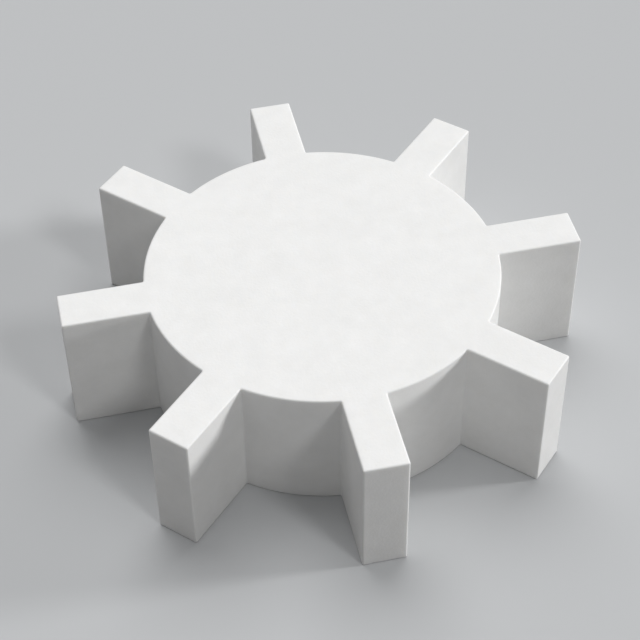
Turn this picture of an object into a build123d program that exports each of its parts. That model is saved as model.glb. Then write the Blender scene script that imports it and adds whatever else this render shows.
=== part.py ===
from build123d import *

import os

# A gear-shaped magnetic stir bar: a one-piece moulded PTFE body, a round hub with blunt radial teeth,
# sealed all round a bar magnet that lies across the hub.
# Lengths are in millimetres. +Z is up, the origin is the centre of the underside, and one tooth and
# the magnet lie along X.

# Body
TOOTH_COUNT = 8
TIP_SPAN = 30.0  # between the flat ends of two opposite teeth
HUB_DIAMETER = 20.3
TOOTH_WIDTH = 2.5
BODY_HEIGHT = 8.0
ROOT_RADIUS = 0.1  # upright hollow corner between a tooth and the hub
EDGE_RADIUS = 0.1  # every outer edge

# Magnet, and the PTFE that covers it
SKIN = 1.45  # over and under the magnet's pocket
POLE_WALL = 2.1  # between each end of the pocket and the hub's rim
MAGNET_CLEARANCE = 0.05  # between the magnet and the wall of its pocket
MAGNET_CHAMFER = 0.3


def tooth_blank(turn):
    """A flat strip from the centre out to one tooth's end, turned to its place round the hub."""
    strip_length = TIP_SPAN / 2
    return Rot(Z=turn) * Pos(X=strip_length / 2) * Rectangle(strip_length, TOOTH_WIDTH)


def gear_outline():
    """The body seen from above, with its root corners rounded."""
    outline = Circle(HUB_DIAMETER / 2)
    for tooth in range(TOOTH_COUNT):
        outline += tooth_blank(tooth * 360 / TOOTH_COUNT)
    root_corners = outline.vertices().group_by(SortBy.DISTANCE)[0]
    return fillet(root_corners, ROOT_RADIUS)


def tooth_corner_edges(blank):
    """The upright edges at the two corners of every tooth's end."""
    return blank.edges().filter_by(Axis.Z).group_by(SortBy.DISTANCE)[-1]


def rod(clearance):
    """The magnet's form along X at half the body's height, grown by a clearance all round."""
    diameter = BODY_HEIGHT - 2 * (SKIN + MAGNET_CLEARANCE - clearance)
    length = HUB_DIAMETER - 2 * (POLE_WALL + MAGNET_CLEARANCE - clearance)
    form = Pos(Z=BODY_HEIGHT / 2) * Rot(Y=90) * Cylinder(diameter / 2, length)
    return chamfer(form.edges().filter_by(GeomType.CIRCLE), MAGNET_CHAMFER)


def ptfe_body():
    """The toothed body with its outer edges rounded and the magnet's pocket closed inside it."""
    blank = extrude(gear_outline(), BODY_HEIGHT)
    faces_by_height = blank.faces().sort_by(Axis.Z)
    rim_edges = faces_by_height[0].edges() + faces_by_height[-1].edges()
    return fillet(rim_edges + tooth_corner_edges(blank), EDGE_RADIUS) - rod(MAGNET_CLEARANCE)


def bar_magnet():
    """The magnet, a rod with its two poles on X."""
    return rod(clearance=0)


os.makedirs("parts", exist_ok=True)
export_step(ptfe_body(), "parts/ptfe_body.step")
export_step(bar_magnet(), "parts/bar_magnet.step")
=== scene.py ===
import math

import bmesh
import bpy
from mathutils import Matrix, Quaternion, Vector


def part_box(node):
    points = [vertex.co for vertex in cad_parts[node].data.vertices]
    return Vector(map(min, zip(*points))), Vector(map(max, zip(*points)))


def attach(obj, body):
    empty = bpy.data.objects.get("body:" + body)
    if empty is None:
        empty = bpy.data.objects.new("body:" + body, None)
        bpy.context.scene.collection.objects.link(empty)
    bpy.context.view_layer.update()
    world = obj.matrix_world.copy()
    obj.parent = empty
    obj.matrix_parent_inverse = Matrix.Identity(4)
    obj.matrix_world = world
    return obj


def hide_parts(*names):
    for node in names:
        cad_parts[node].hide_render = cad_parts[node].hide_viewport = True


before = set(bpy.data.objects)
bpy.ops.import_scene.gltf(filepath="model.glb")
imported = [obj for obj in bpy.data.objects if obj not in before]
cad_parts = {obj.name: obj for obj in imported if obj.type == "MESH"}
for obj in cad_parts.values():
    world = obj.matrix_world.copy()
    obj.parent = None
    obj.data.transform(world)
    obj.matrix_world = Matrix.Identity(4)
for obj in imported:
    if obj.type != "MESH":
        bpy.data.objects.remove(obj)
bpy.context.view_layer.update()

# A gear-shaped magnetic stir bar of white PTFE, lying on a pale floor under soft studio light.
# Lengths are in metres and angles in degrees. Azimuth 0 looks along +Y, and 90 looks along -X.

# Moulded body; its span, its height and the magnet's size are the frame's
TOOTH_COUNT = 8
HUB_RADIUS = 0.01015
TOOTH_WIDTH = 0.0025
ROOT_RADIUS = 0.0001  # upright hollow corner between a tooth and the hub
EDGE_RADIUS = 0.0001  # every outer edge
MAGNET_CLEARANCE = 0.00005  # between the magnet and the wall of its pocket
MAGNET_CHAMFER = 0.0003
MERGE_DISTANCE = 0.000001

# Straight steps in each round stretch
RIM_STEPS = 24  # the hub's rim from tooth to tooth
ROOT_STEPS = 6
EDGE_STEPS = 5
POCKET_STEPS = 64  # once round the pocket

# View
CAMERA_AZIMUTH = -12.05
CAMERA_ELEVATION = 45.85
CAMERA_ROLL = -0.9
CAMERA_DISTANCE = 0.10084
CAMERA_AIM = Vector((-0.00022, -0.00021, 0.004))
CAMERA_LENS = 97.29  # millimetres
SENSOR_WIDTH = 36.0  # millimetres
NEAREST_SEEN = 0.001
FARTHEST_SEEN = 12.0

# Lamps: turn is round to the right of the camera, and light is what falls on a level surface.
# With the sky's, the light adds up to just under 1, so that a colour shows about as it is written.
LAMPS = {
    "side_lamp": {"turn": 98, "elevation": 13, "spread": 9, "light": 0.14},
    "front_lamp": {"turn": 45, "elevation": 45, "spread": 12, "light": 0.12},
    "left_lamp": {"turn": -40, "elevation": 30, "spread": 40, "light": 0.02},
    "back_lamp": {"turn": 185, "elevation": 60, "spread": 50, "light": 0.45},
}
SKY_LIGHT = 0.23
FULL_LIGHT = SKY_LIGHT + sum(lamp["light"] for lamp in LAMPS.values())
SKY_WHITE = (1.0, 1.0, 1.0, 1.0)

# Floor
FLOOR_HALF_WIDTH = 6.0
FLOOR_GREY = (0.54, 0.55, 0.56, 1.0)
FLOOR_BOUNCE = (0.22, 0.22, 0.22, 1.0)  # what the floor throws back onto the object

# PTFE: its faint clouds, the relief of its skin, its gloss, and how light soaks in
PTFE_DEEP = (0.845, 0.845, 0.836, 1.0)
PTFE_PALE = (0.885, 0.885, 0.878, 1.0)
CLOUD_SIZE = 0.0015
CLOUD_DETAIL = 5.0
CLOUD_HARSHNESS = 0.7
RIPPLE_SIZE = 0.0009
RIPPLE_DEPTH = 0.000004
GRAIN_SIZE = 0.00016
GRAIN_DEPTH = 0.000008
PTFE_SMOOTHEST = 0.36
PTFE_ROUGHEST = 0.50
PTFE_IOR = 1.35
SOAK_DEPTH = 0.0004
SOAK_SHARE = 0.3
SOAK_TINT = (1.0, 0.96, 0.9)

# Magnet alloy: its crystals, its casting skin and its gloss
ALLOY_DARK = (0.30, 0.29, 0.28, 1.0)
ALLOY_LIGHT = (0.42, 0.41, 0.40, 1.0)
CRYSTAL_SIZE = 0.0006
CAST_SKIN_SIZE = 0.00025
CAST_SKIN_DEPTH = 0.00001
ALLOY_SMOOTHEST = 0.38
ALLOY_ROUGHEST = 0.58

# Noise: its usual detail and harshness, and the middle band of its values, spread out to 0 and 1
NOISE_DETAIL = 2.0
NOISE_HARSHNESS = 0.5
NOISE_LOW = 0.32
NOISE_HIGH = 0.68

UP = Vector((0, 0, 1))
CENTRE = Vector((0, 0, 0))


def towards(azimuth, elevation):
    """Unit vector from the object to a viewer or lamp in that direction."""
    turn, rise = math.radians(azimuth), math.radians(elevation)
    return Vector((math.sin(turn) * math.cos(rise), -math.cos(turn) * math.cos(rise), math.sin(rise)))


def draw_arc(mesh, start, centre, turn, steps):
    """Draws an arc on from a point, level round a centre, and gives its far end."""
    arc = bmesh.ops.spin(mesh, geom=[start], cent=centre, axis=UP, angle=math.radians(turn), steps=steps)
    return next(part for part in arc["geom_last"] if isinstance(part, bmesh.types.BMVert))


def draw_tooth_and_gap(mesh, reach):
    """Outline of one tooth's end and of the gap that follows, up to the next tooth's end."""
    pitch = 360 / TOOTH_COUNT
    next_tooth = Matrix.Rotation(math.radians(pitch), 3, "Z")
    half_width = TOOTH_WIDTH / 2
    root_y = half_width + ROOT_RADIUS
    root_x = math.sqrt((HUB_RADIUS + ROOT_RADIUS) ** 2 - root_y**2)
    root_angle = math.degrees(math.atan2(root_y, root_x))
    root_turn = root_angle - 90  # hollow, so it turns the other way from the rim
    end_right = mesh.verts.new((reach, -half_width, 0))
    end_left = mesh.verts.new((reach, half_width, 0))
    next_end = mesh.verts.new(next_tooth @ end_right.co)
    foot = mesh.verts.new((root_x, half_width, 0))
    rim_start = draw_arc(mesh, foot, Vector((root_x, root_y, 0)), root_turn, ROOT_STEPS)
    rim_end = draw_arc(mesh, rim_start, CENTRE, pitch - 2 * root_angle, RIM_STEPS)
    next_root = next_tooth @ Vector((root_x, -root_y, 0))
    next_foot = draw_arc(mesh, rim_end, next_root, root_turn, ROOT_STEPS)
    for straight in ((end_right, end_left), (end_left, foot), (next_foot, next_end)):
        mesh.edges.new(straight)


def is_outer_edge(edge, reach):
    """True for the edges round the top and the underside, and at the corners of the teeth's ends."""
    first, second = (vert.co for vert in edge.verts)
    return first.z == second.z or first.xy.length > reach


def bevel_edges(mesh, edges, width, steps):
    """Takes the edges off, round if there are several steps and flat if there is one."""
    bmesh.ops.bevel(
        mesh,
        geom=edges,
        offset=width,
        affect="EDGES",
        segments=steps,
        profile=0.5,
        material=-1,
    )


def gear_form(low, high):
    """The toothed body: its outline drawn all round and raised, with its outer edges rounded."""
    gear = bmesh.new()
    draw_tooth_and_gap(gear, high.x)
    outline = gear.verts[:] + gear.edges[:]
    others = TOOTH_COUNT - 1
    turn = math.tau * others / TOOTH_COUNT
    bmesh.ops.spin(gear, geom=outline, cent=CENTRE, axis=UP, angle=turn, steps=others, use_duplicate=True)
    bmesh.ops.remove_doubles(gear, verts=gear.verts, dist=MERGE_DISTANCE)
    bmesh.ops.contextual_create(gear, geom=gear.edges)
    raised = bmesh.ops.extrude_face_region(gear, geom=gear.faces[:])["geom"]
    top_corners = [part for part in raised if isinstance(part, bmesh.types.BMVert)]
    bmesh.ops.translate(gear, verts=top_corners, vec=UP * (high.z - low.z))
    bmesh.ops.recalc_face_normals(gear, faces=gear.faces)
    outer_edges = [edge for edge in gear.edges if is_outer_edge(edge, high.x)]
    bevel_edges(gear, outer_edges, EDGE_RADIUS, EDGE_STEPS)
    return gear


def pocket_form(low, high):
    """Wall of the closed pocket round the magnet, facing into the pocket."""
    pocket = bmesh.new()
    radius = (high.z - low.z) / 2 + MAGNET_CLEARANCE
    bmesh.ops.create_cone(
        pocket,
        cap_ends=True,
        segments=POCKET_STEPS,
        radius1=radius,
        radius2=radius,
        depth=high.x - low.x + 2 * MAGNET_CLEARANCE,
        matrix=Matrix.Translation((low + high) / 2) @ Matrix.Rotation(math.radians(90), 4, "Y"),
    )
    ends = [face for face in pocket.faces if len(face.verts) == POCKET_STEPS]
    end_edges = [edge for face in ends for edge in face.edges]
    bevel_edges(pocket, end_edges, MAGNET_CHAMFER, steps=1)
    bmesh.ops.reverse_faces(pocket, faces=pocket.faces)
    return pocket


def moulded_body(material):
    """The PTFE body with the magnet's pocket closed inside it, shown in place of the solid."""
    gear = gear_form(*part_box("ptfe_body"))
    pocket = pocket_form(*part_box("bar_magnet"))
    mesh = bpy.data.meshes.new("moulded_body")
    pocket.to_mesh(mesh)
    gear.from_mesh(mesh)  # adds the pocket's wall to the gear
    gear.to_mesh(mesh)
    pocket.free()
    gear.free()
    mesh.shade_smooth()
    mesh.materials.append(material)
    body = bpy.data.objects.new("moulded_body", mesh)
    bpy.context.scene.collection.objects.link(body)
    body.modifiers.new("flat_faces_stay_flat", "WEIGHTED_NORMAL")
    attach(body, "root")
    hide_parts("ptfe_body")


def add_node(tree, kind, **settings):
    """A new node of that kind, with its settings."""
    node = tree.nodes.new(kind)
    for name, value in settings.items():
        setattr(node, name, value)
    return node


def new_material(name):
    """A material with its node tree and its shader."""
    material = bpy.data.materials.new(name)
    material.use_nodes = True
    tree = material.node_tree
    return material, tree, tree.nodes["Principled BSDF"]


def own_place(tree):
    """Each point's place on the object itself."""
    return add_node(tree, "ShaderNodeTexCoord").outputs["Object"]


def noise(tree, place, size, detail=NOISE_DETAIL, harshness=NOISE_HARSHNESS):
    """Cloudy values from 0 to 1, mostly in the middle, with blotches of that size."""
    texture = add_node(tree, "ShaderNodeTexNoise")
    texture.inputs["Scale"].default_value = 1 / size
    texture.inputs["Detail"].default_value = detail
    texture.inputs["Roughness"].default_value = harshness
    tree.links.new(place, texture.inputs["Vector"])
    return texture.outputs["Fac"]


def between(tree, value, low, high):
    """A noise value carried over to the range from low to high."""
    ranged = add_node(tree, "ShaderNodeMapRange")
    ranged.inputs["From Min"].default_value = NOISE_LOW
    ranged.inputs["From Max"].default_value = NOISE_HIGH
    ranged.inputs["To Min"].default_value = low
    ranged.inputs["To Max"].default_value = high
    tree.links.new(value, ranged.inputs["Value"])
    return ranged.outputs["Result"]


def blend_colours(tree, value, first, second):
    """A colour between the two, by a noise value."""
    blend = add_node(tree, "ShaderNodeValToRGB")
    ends = blend.color_ramp.elements
    ends[0].position, ends[0].color = NOISE_LOW, first
    ends[1].position, ends[1].color = NOISE_HIGH, second
    tree.links.new(value, blend.inputs["Fac"])
    return blend.outputs["Color"]


def bump(tree, height, depth, under=None):
    """Surface relief of that depth, laid over another relief if there is one."""
    relief = add_node(tree, "ShaderNodeBump")
    relief.inputs["Distance"].default_value = depth
    tree.links.new(height, relief.inputs["Height"])
    if under:
        tree.links.new(under, relief.inputs["Normal"])
    return relief.outputs["Normal"]


def ptfe_satin():
    """White PTFE: faintly cloudy, satin from a fine moulded grain, with light soaking in a little."""
    material, tree, shader = new_material("ptfe_satin")
    place = own_place(tree)
    cloud = noise(tree, place, CLOUD_SIZE, CLOUD_DETAIL, CLOUD_HARSHNESS)
    ripple = noise(tree, place, RIPPLE_SIZE)
    grain = noise(tree, place, GRAIN_SIZE)
    relief = bump(tree, ripple, RIPPLE_DEPTH)
    relief = bump(tree, grain, GRAIN_DEPTH, under=relief)
    tree.links.new(blend_colours(tree, cloud, PTFE_DEEP, PTFE_PALE), shader.inputs["Base Color"])
    tree.links.new(between(tree, ripple, PTFE_SMOOTHEST, PTFE_ROUGHEST), shader.inputs["Roughness"])
    tree.links.new(relief, shader.inputs["Normal"])
    shader.inputs["IOR"].default_value = PTFE_IOR
    shader.inputs["Subsurface Weight"].default_value = SOAK_SHARE
    shader.inputs["Subsurface Scale"].default_value = SOAK_DEPTH
    shader.inputs["Subsurface Radius"].default_value = SOAK_TINT
    return material


def cast_magnet_alloy():
    """Grey cast magnet alloy: coarse crystals under a slightly pitted casting skin."""
    material, tree, shader = new_material("cast_magnet_alloy")
    place = own_place(tree)
    crystals = noise(tree, place, CRYSTAL_SIZE)
    skin = noise(tree, place, CAST_SKIN_SIZE)
    tree.links.new(blend_colours(tree, crystals, ALLOY_DARK, ALLOY_LIGHT), shader.inputs["Base Color"])
    tree.links.new(between(tree, skin, ALLOY_SMOOTHEST, ALLOY_ROUGHEST), shader.inputs["Roughness"])
    tree.links.new(bump(tree, skin, CAST_SKIN_DEPTH), shader.inputs["Normal"])
    shader.inputs["Metallic"].default_value = 1.0
    return material


def seen_directly(tree):
    """1 for what the camera, a glossy or a clear surface sees, and 0 for light on its way."""
    ray = add_node(tree, "ShaderNodeLightPath").outputs
    seen = ray["Is Camera Ray"]
    for other in ("Is Glossy Ray", "Is Transmission Ray"):
        either = add_node(tree, "ShaderNodeMath", operation="MAXIMUM")
        tree.links.new(seen, either.inputs[0])
        tree.links.new(ray[other], either.inputs[1])
        seen = either.outputs["Value"]
    return seen


def floor_paint():
    """Dull grey, seen paler than the light that it throws back."""
    material, tree, shader = new_material("floor_grey")
    grey = add_node(tree, "ShaderNodeMix", data_type="RGBA")
    grey.inputs["A"].default_value = FLOOR_BOUNCE
    grey.inputs["B"].default_value = FLOOR_GREY
    tree.links.new(seen_directly(tree), grey.inputs["Factor"])
    tree.links.new(grey.outputs["Result"], shader.inputs["Base Color"])
    shader.inputs["Roughness"].default_value = 1.0
    shader.inputs["Specular IOR Level"].default_value = 0.0
    return material


def pale_floor(material):
    """A wide level floor under the object's underside."""
    plane = bmesh.new()
    bmesh.ops.create_grid(plane, x_segments=1, y_segments=1, size=FLOOR_HALF_WIDTH)
    mesh = bpy.data.meshes.new("floor")
    plane.to_mesh(mesh)
    plane.free()
    mesh.materials.append(material)
    floor = bpy.data.objects.new("floor", mesh)
    bpy.context.scene.collection.objects.link(floor)


def soft_lamp(name, turn, elevation, spread, light):
    """A distant soft lamp that gives that much light on a level surface."""
    lamp = bpy.data.lights.new(name, "SUN")
    lamp.angle = math.radians(spread)
    lamp.energy = math.pi * light / math.sin(math.radians(elevation))
    stand = bpy.data.objects.new(name, lamp)
    stand.rotation_euler = towards(CAMERA_AZIMUTH + turn, elevation).to_track_quat("Z", "Y").to_euler()
    bpy.context.scene.collection.objects.link(stand)


def studio_sky():
    """An even white sky, where the camera and glossy surfaces see a backdrop like the lit floor."""
    world = bpy.data.worlds.new("studio_sky")
    bpy.context.scene.world = world
    world.use_nodes = True
    tree = world.node_tree
    sky = tree.nodes["Background"]
    sky.inputs["Color"].default_value = SKY_WHITE
    sky.inputs["Strength"].default_value = SKY_LIGHT
    backdrop = add_node(tree, "ShaderNodeBackground")
    backdrop.inputs["Color"].default_value = FLOOR_GREY
    backdrop.inputs["Strength"].default_value = FULL_LIGHT
    choice = add_node(tree, "ShaderNodeMixShader")
    tree.links.new(seen_directly(tree), choice.inputs["Fac"])
    tree.links.new(sky.outputs["Background"], choice.inputs[1])
    tree.links.new(backdrop.outputs["Background"], choice.inputs[2])
    tree.links.new(choice.outputs["Shader"], tree.nodes["World Output"].inputs["Surface"])


def studio_camera():
    """The camera, with the object at the angle and size that it has in the picture."""
    lens = bpy.data.cameras.new("camera")
    lens.lens = CAMERA_LENS
    lens.sensor_width = SENSOR_WIDTH
    lens.clip_start = NEAREST_SEEN
    lens.clip_end = FARTHEST_SEEN
    camera = bpy.data.objects.new("camera", lens)
    back = towards(CAMERA_AZIMUTH, CAMERA_ELEVATION)
    camera.location = CAMERA_AIM + CAMERA_DISTANCE * back
    roll = Quaternion(UP, math.radians(CAMERA_ROLL))  # about the camera's own line of sight
    camera.rotation_euler = (back.to_track_quat("Z", "Y") @ roll).to_euler()
    bpy.context.scene.collection.objects.link(camera)
    bpy.context.scene.camera = camera


studio_camera()
moulded_body(ptfe_satin())
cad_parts["bar_magnet"].material_slots[0].material = cast_magnet_alloy()
pale_floor(floor_paint())
for lamp_name, lamp_settings in LAMPS.items():
    soft_lamp(lamp_name, **lamp_settings)
studio_sky()
bpy.context.scene.view_settings.view_transform = "Standard"
